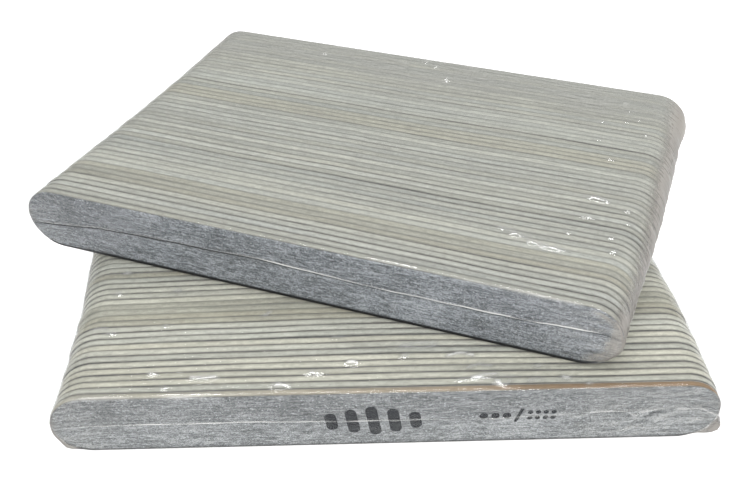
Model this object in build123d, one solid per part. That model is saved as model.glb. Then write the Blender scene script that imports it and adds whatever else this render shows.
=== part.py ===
from build123d import *
import math
import os
import random

# Two sealed retail packs of straight nail files. Each pack is a row of files
# standing on their long edges side by side, tightly wrapped in clear shrink film.
# The upper pack lies loose and turned on top of the lower one.
# Frame: +X along the lower pack's files, +Y from its front file to its back file,
# +Z up. Origin: centre of the bottom of the whole stack's box. Millimetres.

# ---- one nail file -------------------------------------------------------------
FILE_LENGTH = 178.0        # seven-inch file, round end to round end
FILE_WIDTH = 20.4          # across the file; upright in the pack
CORE_THICK = 1.72          # pale wooden core
PAPER_THICK = 0.30         # abrasive paper with its grit, each side
FILE_GAP = 0.015           # air between neighbouring files
FILE_THICK = CORE_THICK + 2 * PAPER_THICK
FILE_PITCH = FILE_THICK + FILE_GAP

# ---- one pack ------------------------------------------------------------------
FILES_PER_PACK = 50
GROUP_SIZE = 8             # inner files share nodes in neighbouring groups of eight
ROW_DEPTH = FILES_PER_PACK * FILE_PITCH - FILE_GAP
END_JITTER = 0.28          # each file sits this much left or right of the row's line

# ---- shrink film ---------------------------------------------------------------
FILM_THICK = 0.10          # film with its overlapped, shrunk layers
FILM_SIDE_CLEAR = 0.06     # film to the files' long edges, top and bottom
FILM_FACE_CLEAR = 0.08     # film to the front and back faces
FILM_END_CLEAR = 0.68      # film to the round ends, which stand unevenly
FILM_STATIONS = 7          # sections along the depth that follow the row's sweep
# welded seam line, as a share of the pack's height
SEAM_HEIGHT = {"lower": 0.46, "upper": 0.56}
SEAM_PROUD = 0.22          # how far the weld bead stands out
SEAM_BEAD = 0.50           # width of the weld bead

# ---- how the two packs lie -----------------------------------------------------
PACK_HEIGHT = FILE_WIDTH + 2 * (FILM_SIDE_CLEAR + FILM_THICK)
PACK_GAP = 0.10            # between the two films
UPPER_YAW = -19.86         # degrees about +Z
UPPER_X, UPPER_Y = -23.64, 35.70   # front-bottom-centre of the upper pack's row
# sideways sweep of a row from its front to its back: a1*t + a2*t^2, t = 0..1
SWEEP = {"lower": (3.96, -14.92), "upper": (14.71, -5.12)}


def sweep_at(pack, t):
    a1, a2 = SWEEP[pack]
    return a1 * t + a2 * t * t


def file_offset(pack, i, rng):
    t = (i * FILE_PITCH + FILE_THICK / 2) / ROW_DEPTH
    return sweep_at(pack, t) + rng.uniform(-END_JITTER, END_JITTER)


def slab(x, y0, y1):
    """One full-round-ended strip, standing on its long edge, from y0 to y1."""
    z = FILM_THICK + FILM_SIDE_CLEAR + FILE_WIDTH / 2
    plane = Plane(origin=(x, y0, z), x_dir=(1, 0, 0), z_dir=(0, 1, 0))
    face = plane * SlotOverall(FILE_LENGTH, FILE_WIDTH)
    return extrude(face, amount=y1 - y0, dir=(0, 1, 0)).solids()[0]


def section(x, y, half_len, half_h, bead, seam):
    """Stadium outline in the XZ plane at depth y; bead raises the seam at both ends."""
    zc = PACK_HEIGHT / 2
    r = half_h
    zs = seam * PACK_HEIGHT
    straight = half_len - r

    def on_arc(z, side):
        dz = z - zc
        return (x + side * (straight + math.sqrt(r * r - dz * dz)), y, z)

    def mid(za, zb, side):
        a = math.asin((za - zc) / r)
        b = math.asin((zb - zc) / r)
        m = (a + b) / 2
        return (x + side * (straight + r * math.cos(m)), y, zc + r * math.sin(m))

    lo, hi = zc - r, zc + r
    s0, s1 = zs - SEAM_BEAD / 2, zs + SEAM_BEAD / 2
    edges = []
    bl, br = (x - straight, y, lo), (x + straight, y, lo)
    tl, tr = (x - straight, y, hi), (x + straight, y, hi)
    edges.append(Edge.make_line(bl, br))
    if bead > 0:
        p0, p1 = on_arc(s0, 1), on_arc(s1, 1)
        q0 = (p0[0] + bead, y, s0 + 0.1)
        q1 = (p1[0] + bead, y, s1 - 0.1)
        edges.append(Edge.make_three_point_arc(br, mid(lo, s0, 1), p0))
        edges += [Edge.make_line(p0, q0), Edge.make_line(q0, q1), Edge.make_line(q1, p1)]
        edges.append(Edge.make_three_point_arc(p1, mid(s1, hi, 1), tr))
    else:
        edges.append(Edge.make_three_point_arc(br, mid(lo, hi, 1), tr))
    edges.append(Edge.make_line(tr, tl))
    if bead > 0:
        p0, p1 = on_arc(s0, -1), on_arc(s1, -1)
        q0 = (p0[0] - bead, y, s0 + 0.1)
        q1 = (p1[0] - bead, y, s1 - 0.1)
        edges.append(Edge.make_three_point_arc(tl, mid(s1, hi, -1), p1))
        edges += [Edge.make_line(p1, q1), Edge.make_line(q1, q0), Edge.make_line(q0, p0)]
        edges.append(Edge.make_three_point_arc(p0, mid(lo, s0, -1), bl))
    else:
        edges.append(Edge.make_three_point_arc(tl, mid(lo, hi, -1), bl))
    return Wire(edges)


def swept_block(pack, grow_len, half_h, y0, y1, bead):
    """Closed block whose stadium section follows the row's sweep from y0 to y1."""
    parts = []
    for k in range(FILM_STATIONS):
        f = k / (FILM_STATIONS - 1)
        y = y0 + (y1 - y0) * f
        t = min(max(y / ROW_DEPTH, 0.0), 1.0)
        parts.append(section(sweep_at(pack, t), y, FILE_LENGTH / 2 + grow_len, half_h, bead,
                             SEAM_HEIGHT[pack]))
    return Solid.make_loft(parts, ruled=True)


def shrink_film(pack):
    """Thin closed skin all round the row, with a welded seam on its front and ends."""
    outer = swept_block(pack, FILM_END_CLEAR + FILM_THICK, PACK_HEIGHT / 2,
                        -FILM_FACE_CLEAR - FILM_THICK,
                        ROW_DEPTH + FILM_FACE_CLEAR + FILM_THICK, SEAM_PROUD)
    inner = swept_block(pack, FILM_END_CLEAR, PACK_HEIGHT / 2 - FILM_THICK,
                        -FILM_FACE_CLEAR, ROW_DEPTH + FILM_FACE_CLEAR, 0)
    front = -FILM_FACE_CLEAR - FILM_THICK
    bead_len = FILE_LENGTH + 2 * (FILM_END_CLEAR + FILM_THICK) - 1.0
    bead = Box(bead_len, SEAM_PROUD + FILM_THICK / 2, SEAM_BEAD)
    bead = Pos(0, front - SEAM_PROUD / 2 + FILM_THICK / 4, SEAM_HEIGHT[pack] * PACK_HEIGHT) * bead
    return (outer + bead.solid()) - inner


def place(pack, shape):
    if pack == "upper":
        return Pos(UPPER_X, UPPER_Y, PACK_HEIGHT + PACK_GAP) * Rot(0, 0, UPPER_YAW) * shape
    return shape


nodes = {}
for pack, seed in (("lower", 11), ("upper", 23)):
    rng = random.Random(seed)
    last = FILES_PER_PACK - 1
    for i in range(FILES_PER_PACK):
        x = file_offset(pack, i, rng)
        y = i * FILE_PITCH
        # front to back: coarse paper, wooden core, fine paper
        coarse = slab(x, y, y + PAPER_THICK)
        core = slab(x, y + PAPER_THICK, y + PAPER_THICK + CORE_THICK)
        fine = slab(x, y + PAPER_THICK + CORE_THICK, y + FILE_THICK)
        if i == 0:
            names = ("front_file_core", "front_file_coarse_paper", "front_file_fine_paper")
        elif i == last:
            names = ("back_file_core", "back_file_coarse_paper", "back_file_fine_paper")
        else:
            g = (i - 1) // GROUP_SIZE + 1
            names = (f"files_row{g}_cores", f"files_row{g}_coarse_papers",
                     f"files_row{g}_fine_papers")
        for name, solid in zip(names, (core, coarse, fine)):
            nodes.setdefault(f"{pack}_{name}", []).append(place(pack, solid))
    nodes[f"{pack}_shrink_film"] = [place(pack, shrink_film(pack).solids()[0])]

# move the whole stack so that the origin is at the centre of its box's bottom
boxes = [s.bounding_box() for solids in nodes.values() for s in solids]
x0, x1 = min(b.min.X for b in boxes), max(b.max.X for b in boxes)
y0, y1 = min(b.min.Y for b in boxes), max(b.max.Y for b in boxes)
z0 = min(b.min.Z for b in boxes)
shift = Pos(-(x0 + x1) / 2, -(y0 + y1) / 2, -z0)
print("stack box", round(x1 - x0, 3), round(y1 - y0, 3), "shift",
      round(-(x0 + x1) / 2, 4), round(-(y0 + y1) / 2, 4), round(-z0, 4))

os.makedirs("parts", exist_ok=True)
for name, solids in nodes.items():
    moved = [shift * s for s in solids]
    shape = moved[0] if len(moved) == 1 else Compound(children=moved)
    shape.label = name
    export_step(shape, f"parts/{name}.step")
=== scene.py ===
import math
import random

import bpy
import numpy as np
from mathutils import Matrix, Vector


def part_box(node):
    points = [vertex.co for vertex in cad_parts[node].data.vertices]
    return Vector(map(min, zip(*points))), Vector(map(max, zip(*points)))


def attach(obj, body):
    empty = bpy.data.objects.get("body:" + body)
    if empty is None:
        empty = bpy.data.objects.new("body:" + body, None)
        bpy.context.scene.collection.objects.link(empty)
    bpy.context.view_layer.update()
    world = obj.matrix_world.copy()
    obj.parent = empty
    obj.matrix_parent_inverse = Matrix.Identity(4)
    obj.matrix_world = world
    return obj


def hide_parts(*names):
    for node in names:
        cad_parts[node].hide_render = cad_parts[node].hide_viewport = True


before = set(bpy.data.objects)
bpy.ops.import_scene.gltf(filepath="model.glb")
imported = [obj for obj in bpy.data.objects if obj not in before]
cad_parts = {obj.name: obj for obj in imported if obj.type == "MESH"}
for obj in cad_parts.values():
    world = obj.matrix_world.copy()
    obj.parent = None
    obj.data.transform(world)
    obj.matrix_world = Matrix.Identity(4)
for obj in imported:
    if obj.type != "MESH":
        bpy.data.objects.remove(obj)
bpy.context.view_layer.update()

MM = 0.001

# ------------------------------------------------------------------ the design's sizes (mm)
LENGTH, WIDTH = 178.0, 20.4
CORE, PAPER, GAP = 1.72, 0.30, 0.015
THICK = CORE + 2 * PAPER
PITCH = THICK + GAP
COUNT = 50
DEPTH = COUNT * PITCH - GAP
JITTER = 0.28
FILM, FILM_SIDE, FILM_FACE = 0.10, 0.06, 0.08
HEIGHT = WIDTH + 2 * (FILM + FILM_SIDE)
PACK_GAP = 0.10
YAW = {"lower": 0.0, "upper": math.radians(-19.86)}
FRONT = {"lower": (0.0, 0.0, 0.0), "upper": (-23.64, 35.70, HEIGHT + PACK_GAP)}
SWEEP = {"lower": (3.96, -14.92), "upper": (14.71, -5.12)}
SEAM = {"lower": 0.46, "upper": 0.56}
SEED = {"lower": 11, "upper": 23}

offsets = {}
for pack in ("lower", "upper"):
    rng = random.Random(SEED[pack])
    offsets[pack] = []
    for i in range(COUNT):
        t = (i * PITCH + THICK / 2) / DEPTH
        a1, a2 = SWEEP[pack]
        offsets[pack].append((a1 * t + a2 * t * t, rng.uniform(-JITTER, JITTER)))

# the lower pack's front corner in the row frame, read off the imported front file
lo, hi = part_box("lower_front_file_core")
ORIGIN = ((lo.x + hi.x) / 2 / MM - sum(offsets["lower"][0]), lo.y / MM - PAPER)


def to_row(pack, p):
    """Points in a pack's own frame (mm) as points in the row frame (m)."""
    c, s = math.cos(YAW[pack]), math.sin(YAW[pack])
    fx, fy, fz = FRONT[pack]
    q = np.empty_like(p)
    q[:, 0] = (c * p[:, 0] - s * p[:, 1] + fx + ORIGIN[0]) * MM
    q[:, 1] = (s * p[:, 0] + c * p[:, 1] + fy + ORIGIN[1]) * MM
    q[:, 2] = (p[:, 2] + fz) * MM
    return q


# ------------------------------------------------------------------ smooth seeded noise
def _table(seed):
    return np.random.RandomState(seed).rand(257, 257)


_tables = {}


def noise2(x, y, seed):
    """Smooth value noise, about -1 to 1, one lattice step per unit."""
    if seed not in _tables:
        _tables[seed] = _table(seed)
    t = _tables[seed]
    x, y = np.broadcast_arrays(np.asarray(x, float), np.asarray(y, float))
    i, j = np.floor(x).astype(int), np.floor(y).astype(int)
    f, g = x - i, y - j
    f, g = f * f * (3 - 2 * f), g * g * (3 - 2 * g)
    i, j = i % 256, j % 256
    a = t[i, j] * (1 - f) + t[i + 1, j] * f
    b = t[i, j + 1] * (1 - f) + t[i + 1, j + 1] * f
    return (a * (1 - g) + b * g) * 2 - 1


def ridged(x, y, seed):
    return 1 - np.abs(noise2(x, y, seed)) * 2


def smooth(a, b, x):
    t = np.clip((np.asarray(x, float) - a) / (b - a), 0, 1)
    return t * t * (3 - 2 * t)


def bow(pack, x, y, i=None):
    """How far the pressed row bends back and forth along its files, in mm along its depth; each file a little by itself."""
    own = 0.0
    if i is not None:
        own = 0.16 * noise2(x / 19.0, i * 0.61 + 0.5, SEED[pack] + 60) + 0.06 * noise2(x / 7.0, i * 1.37 + 0.5, SEED[pack] + 61)
        own = own * smooth(0.5, 4, y) * smooth(0.5, 4, DEPTH - y)
    k = {"lower": 0.0, "upper": 2.1}[pack]
    fade = smooth(0, 12, y) * smooth(0, 12, DEPTH - y)
    big = {"lower": 0.30, "upper": 0.20}[pack]
    pull = 0.0
    if pack == "lower":
        pull = -1.9 * smooth(-20, -88, x) * np.sin(np.clip(y / DEPTH, 0, 1) * math.pi) ** 0.8
    return own + pull + fade * (
        big * np.sin(x / 27.0 + 1.3 + k + y / 45.0)
        + 0.14 * np.sin(x / 11.5 + 2.9 * k + y / 23.0)
    )


# ------------------------------------------------------------------ outlines
def stations(straight_step, arc_angles):
    """x stations of a stadium's upper half, left tip to right tip: (along straight, arc angle) as x and unit radius direction."""
    r = 1.0
    out = []
    for a in reversed(arc_angles):
        out.append((-1, a))
    n = max(2, int(round((LENGTH - WIDTH) / straight_step)))
    for k in range(1, n):
        out.append((0, -1 + 2 * k / n))
    for a in arc_angles:
        out.append((1, a))
    return out


def half_outline(st, half_len, r):
    """Upper half points (x, z >= 0) and outward normals for a stadium of that half length and end radius."""
    s = half_len - r
    x, z, nx, nz = [], [], [], []
    for kind, v in st:
        if kind == 0:
            x.append(v * s), z.append(r), nx.append(0.0), nz.append(1.0)
        else:
            a = math.radians(v)
            x.append(kind * (s + r * math.sin(a))), z.append(r * math.cos(a))
            nx.append(kind * math.sin(a)), nz.append(math.cos(a))
    return tuple(np.array(q) for q in (x, z, nx, nz))


def ring_outline(st, half_len, r):
    """Closed outline, counted from the left tip over the top to the right tip and back underneath."""
    x, z, nx, nz = half_outline(st, half_len, r)
    X = np.concatenate([x, x[-2:0:-1]])
    Z = np.concatenate([z, -z[-2:0:-1]])
    NX = np.concatenate([nx, nx[-2:0:-1]])
    NZ = np.concatenate([nz, -nz[-2:0:-1]])
    return X, Z, NX, NZ


# ------------------------------------------------------------------ mesh assembly
class Build:
    """Collects vertices, faces and per-point values, then makes one object."""

    def __init__(self):
        self.v, self.f, self.n = [], [], 0
        self.tone, self.info, self.pk, self.coat = [], [], [], []

    def add(self, verts, faces, tone, info, coat=(0.335, 0.33, 0.29)):
        verts = np.asarray(verts, float)
        base = self.n
        self.v.append(verts)
        self.f += [tuple(base + i for i in f) for f in faces]
        self.n += len(verts)
        tone = np.asarray(tone, float)
        self.tone.append(np.broadcast_to(tone, (len(verts), 3)).copy())
        info = np.asarray(info, float)
        self.info.append(np.broadcast_to(info, (len(verts), 3)).copy())
        self.pk.append(verts.copy())
        self.coat.append(np.broadcast_to(np.asarray(coat, float), (len(verts), 3)).copy())

    def object(self, name, pack, material, flat=False):
        v = np.concatenate(self.v)
        me = bpy.data.meshes.new(name)
        me.from_pydata(to_row(pack, v).tolist(), [], self.f)
        for key, rows in (("tone", self.tone), ("info", self.info), ("pk", self.pk), ("coat", self.coat)):
            a = me.attributes.new(key, "FLOAT_VECTOR", "POINT")
            a.data.foreach_set("vector", np.concatenate(rows).astype(np.float32).ravel())
        me.validate()
        me.update()
        me.polygons.foreach_set("use_smooth", [not flat] * len(me.polygons))
        o = bpy.data.objects.new(name, me)
        bpy.context.scene.collection.objects.link(o)
        me.materials.append(material)
        return o


def tube_faces(rings, m):
    """Quads between rings of m points each, facing outwards for outlines that run clockwise seen from the front."""
    f = []
    for k in range(rings - 1):
        a, b = k * m, (k + 1) * m
        for i in range(m):
            j = (i + 1) % m
            f.append((a + i, b + i, b + j, a + j))
    return f


# ------------------------------------------------------------------ materials
def node_material(name):
    m = bpy.data.materials.new(name)
    m.use_nodes = True
    nt = m.node_tree
    nt.nodes.clear()
    out = nt.nodes.new("ShaderNodeOutputMaterial")
    return m, nt, out


class N:
    """Short calls for a node tree."""

    def __init__(self, nt):
        self.nt = nt

    def attr(self, name, out="Vector"):
        n = self.nt.nodes.new("ShaderNodeAttribute")
        n.attribute_name = name
        return n.outputs[out]

    def link(self, a, b):
        self.nt.links.new(a, b)

    def _in(self, socket, value):
        if hasattr(value, "is_output"):
            self.nt.links.new(value, socket)
        else:
            socket.default_value = value

    def math(self, op, a, b=0.0, c=0.0, clamp=False):
        n = self.nt.nodes.new("ShaderNodeMath")
        n.operation, n.use_clamp = op, clamp
        for s, v in zip(n.inputs, (a, b, c)):
            self._in(s, v)
        return n.outputs[0]

    def vmath(self, op, a, b=(0, 0, 0), scale=None):
        n = self.nt.nodes.new("ShaderNodeVectorMath")
        n.operation = op
        self._in(n.inputs[0], a)
        if scale is None:
            self._in(n.inputs[1], b)
        else:
            self._in(n.inputs["Scale"], scale)
        return n.outputs[0]

    def split(self, v):
        n = self.nt.nodes.new("ShaderNodeSeparateXYZ")
        self._in(n.inputs[0], v)
        return n.outputs

    def join(self, x, y, z):
        n = self.nt.nodes.new("ShaderNodeCombineXYZ")
        for s, v in zip(n.inputs, (x, y, z)):
            self._in(s, v)
        return n.outputs[0]

    def noise(self, vector, scale, detail=2.0, rough=0.5, out="Fac"):
        n = self.nt.nodes.new("ShaderNodeTexNoise")
        self._in(n.inputs["Vector"], vector)
        self._in(n.inputs["Scale"], scale)
        n.inputs["Detail"].default_value = detail
        n.inputs["Roughness"].default_value = rough
        return n.outputs[out]

    def voronoi(self, vector, scale, feature="F1", out="Distance"):
        n = self.nt.nodes.new("ShaderNodeTexVoronoi")
        n.feature = feature
        self._in(n.inputs["Vector"], vector)
        self._in(n.inputs["Scale"], scale)
        return n.outputs[out]

    def ramp(self, fac, stops):
        n = self.nt.nodes.new("ShaderNodeValToRGB")
        self._in(n.inputs[0], fac)
        cr = n.color_ramp
        while len(cr.elements) < len(stops):
            cr.elements.new(0.5)
        for e, (p, c) in zip(cr.elements, stops):
            e.position = p
            e.color = (c, c, c, 1) if isinstance(c, (int, float)) else (*c, 1)
        return n.outputs[0]

    def mix(self, fac, a, b, blend="MIX"):
        n = self.nt.nodes.new("ShaderNodeMix")
        n.data_type, n.blend_type = "RGBA", blend
        self._in(n.inputs["Factor"], fac)
        rgba = [s for s in n.inputs if s.type == "RGBA"]
        for s, v in zip(rgba, (a, b)):
            self._in(s, (*v, 1) if isinstance(v, tuple) and len(v) == 3 else v)
        return [s for s in n.outputs if s.type == "RGBA"][0]

    def bump(self, height, strength, distance):
        n = self.nt.nodes.new("ShaderNodeBump")
        n.inputs["Strength"].default_value = strength
        n.inputs["Distance"].default_value = distance
        self._in(n.inputs["Height"], height)
        return n.outputs[0]


def wood_material():
    """Pale sawn basswood: tone per file, grain along the file, dark flecks, faint saw marks, and painted shade towards
    both edges where the groove beside is open.
    """
    m, nt, out = node_material("pale_wood")
    n = N(nt)
    pk, tone, info = n.attr("pk"), n.attr("tone"), n.attr("info")
    fid = n.split(info)[0]
    x, y, z = n.split(pk)
    shift = n.math("MULTIPLY", fid, 61.7)
    grain = n.join(n.math("ADD", n.math("MULTIPLY", x, 0.050), shift),
                   n.math("MULTIPLY", y, 1.5), n.math("MULTIPLY", z, 1.5))
    g1 = n.noise(grain, 1.0, 4.0, 0.62)
    fine = n.join(n.math("ADD", n.math("MULTIPLY", x, 0.24), shift),
                  n.math("MULTIPLY", y, 3.2), n.math("MULTIPLY", z, 3.2))
    g2 = n.noise(fine, 1.0, 3.0, 0.6)
    long = n.join(n.math("ADD", n.math("MULTIPLY", x, 0.018), shift), shift, 0.0)
    g3 = n.noise(long, 1.0, 2.0, 0.5)
    saw = n.join(n.math("ADD", n.math("MULTIPLY", x, 0.62), shift), n.math("MULTIPLY", y, 1.25), n.math("MULTIPLY", z, 1.25))
    g4 = n.noise(saw, 1.0, 3.0, 0.7)
    light = n.math("ADD", n.math("MULTIPLY", g1, 0.62), n.math("MULTIPLY", g2, 0.40))
    light = n.math("ADD", light, n.math("MULTIPLY", g3, 0.26))
    light = n.math("ADD", light, n.math("MULTIPLY", g4, 0.86))
    light = n.math("ADD", light, -0.07)
    # painted shade: the wood darkens towards both edges, more where the groove beside it is open
    across = n.split(info)[1]
    mid = n.math("ABSOLUTE", n.math("SUBTRACT", across, 0.5))
    wander = n.noise(n.join(n.math("MULTIPLY", x, 0.16), shift, 0.0), 1.0, 5.0, 0.72)
    painted_groove_shade = n.ramp(n.math("ADD", mid, n.math("MULTIPLY", n.math("SUBTRACT", wander, 0.5), 0.42)), [(0.28, 0.0), (0.50, 1.0)])
    painted_groove_shade = n.math("MULTIPLY", painted_groove_shade, n.math("MULTIPLY", n.split(info)[2], 0.46))
    light = n.math("MULTIPLY", light, n.math("SUBTRACT", 1.0, painted_groove_shade))
    col = n.vmath("SCALE", tone, scale=light)
    fleck = n.ramp(n.noise(fine, 2.3, 2.0, 0.7), [(0.0, 0.0), (0.60, 0.0), (0.76, 1.0)])
    col = n.mix(n.math("MULTIPLY", fleck, 0.40), col, (0.22, 0.19, 0.14))
    warm = n.ramp(g3, [(0.35, 0.0), (0.72, 1.0)])
    col = n.mix(n.math("MULTIPLY", warm, 0.14), col, (0.42, 0.37, 0.26))
    p = nt.nodes.new("ShaderNodeBsdfPrincipled")
    n.link(col, p.inputs["Base Color"])
    n.link(n.math("ADD", n.math("MULTIPLY", g2, 0.25), 0.58), p.inputs["Roughness"])
    p.inputs["Specular IOR Level"].default_value = 0.28
    height = n.math("ADD", n.math("MULTIPLY", g2, 0.6), n.math("MULTIPLY", g1, 0.4))
    n.link(n.bump(height, 0.45, 0.00012), p.inputs["Normal"])
    n.link(p.outputs[0], out.inputs["Surface"])
    return m


def abrasive_material(name, face, face2, grit_mm, bump_m):
    """Coated abrasive paper: grey grit on its face, a face brightness that is painted light and shade, and a cut edge
    that shows pale backing under dark grit.
    """
    m, nt, out = node_material(name)
    n = N(nt)
    pk, tone, info = n.attr("pk"), n.attr("tone"), n.attr("info")
    fid, lay, rim = n.split(info)
    gain, dust, bright = n.split(tone)
    shift = n.join(n.math("MULTIPLY", fid, 53.0), 0.0, n.math("MULTIPLY", fid, 17.0))
    q = n.vmath("ADD", pk, shift)
    cells = n.voronoi(q, 1.0 / grit_mm, "F1", "Distance")
    seed = n.voronoi(q, 1.0 / grit_mm, "F1", "Color")
    grain = n.noise(q, 0.9 / grit_mm, 3.0, 0.65)
    x, y, z = n.split(q)
    wavy = n.math("ADD", z, n.math("MULTIPLY", n.noise(n.join(n.math("MULTIPLY", x, 0.13), 0.0, n.math("MULTIPLY", z, 0.2)), 1.0, 2.0), 1.6))
    streak = n.join(n.math("MULTIPLY", x, 0.30), n.math("MULTIPLY", y, 1.0), n.math("MULTIPLY", wavy, 1.9))
    s1 = n.noise(streak, 1.0, 4.0, 0.62)
    long = n.join(n.math("MULTIPLY", x, 0.07), n.math("MULTIPLY", y, 1.0), n.math("MULTIPLY", wavy, 0.75))
    s2 = n.noise(long, 1.0, 3.0, 0.6)
    cloud = n.noise(q, 0.045, 3.0, 0.55)
    clump = n.noise(n.join(n.math("MULTIPLY", x, 0.8), n.math("MULTIPLY", y, 1.0), n.math("MULTIPLY", wavy, 2.2)), 1.0, 3.0, 0.75)
    v = n.math("ADD", n.math("MULTIPLY", grain, 0.45), n.math("MULTIPLY", n.split(seed)[0], 0.22))
    v = n.math("ADD", v, n.math("MULTIPLY", clump, 0.62))
    v = n.math("ADD", v, n.math("MULTIPLY", s1, 1.05))
    v = n.math("ADD", v, n.math("MULTIPLY", s2, 0.55))
    v = n.math("ADD", v, n.math("MULTIPLY", cloud, 0.30))
    v = n.math("SUBTRACT", v, 1.100)
    dark = tuple(c * 0.42 for c in face)
    col = n.ramp(v, [(0.30, dark), (0.50, face), (0.71, face2)])
    # the face's brightness from the tone attribute is painted light and shade
    col = n.vmath("MULTIPLY", n.vmath("SCALE", col, scale=bright), n.attr("coat"))
    spark = n.ramp(n.split(seed)[1], [(0.93, 0.0), (0.985, 1.0)])
    col = n.mix(n.math("MULTIPLY", spark, 0.40), col, (0.62, 0.64, 0.66))
    # cut edge: backing fibres near the core, grit near the face, sanding dust over both
    fib = n.noise(n.join(n.math("MULTIPLY", x, 1.1), n.math("MULTIPLY", y, 9.0), n.math("MULTIPLY", z, 1.1)), 1.0, 3.0, 0.6)
    edge_mix = n.ramp(n.math("ADD", lay, n.math("MULTIPLY", n.math("SUBTRACT", fib, 0.5), 0.5)), [(0.36, 0.0), (0.60, 1.0)])
    backing = n.ramp(fib, [(0.25, (0.22, 0.205, 0.175)), (0.75, (0.38, 0.36, 0.315))])
    grit = n.ramp(grain, [(0.3, (0.045, 0.047, 0.047)), (0.75, (0.14, 0.14, 0.135))])
    edge = n.vmath("SCALE", n.mix(edge_mix, backing, grit), scale=gain)
    fade = n.noise(n.join(n.math("MULTIPLY", x, 0.34), n.math("MULTIPLY", fid, 91.0), n.math("MULTIPLY", z, 0.3)), 1.0, 6.0, 0.78)
    cover = n.math("ADD", dust, n.math("MULTIPLY", n.math("SUBTRACT", fade, 0.5), 1.3), clamp=True)
    edge = n.mix(cover, edge, n.vmath("SCALE", n.attr("coat"), scale=n.math("ADD", n.math("MULTIPLY", fib, 0.30), 0.85)))
    col = n.mix(n.ramp(rim, [(0.35, 0.0), (0.65, 1.0)]), col, edge)
    p = nt.nodes.new("ShaderNodeBsdfPrincipled")
    n.link(col, p.inputs["Base Color"])
    n.link(n.math("ADD", n.math("MULTIPLY", grain, 0.25), 0.62), p.inputs["Roughness"])
    p.inputs["Specular IOR Level"].default_value = 0.35
    height = n.math("SUBTRACT", n.math("MULTIPLY", grain, 0.5), n.math("MULTIPLY", cells, 0.9))
    height = n.math("ADD", height, n.math("MULTIPLY", s1, 1.4))
    n.link(n.bump(height, 0.6, bump_m), p.inputs["Normal"])
    n.link(p.outputs[0], out.inputs["Surface"])
    return m


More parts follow.
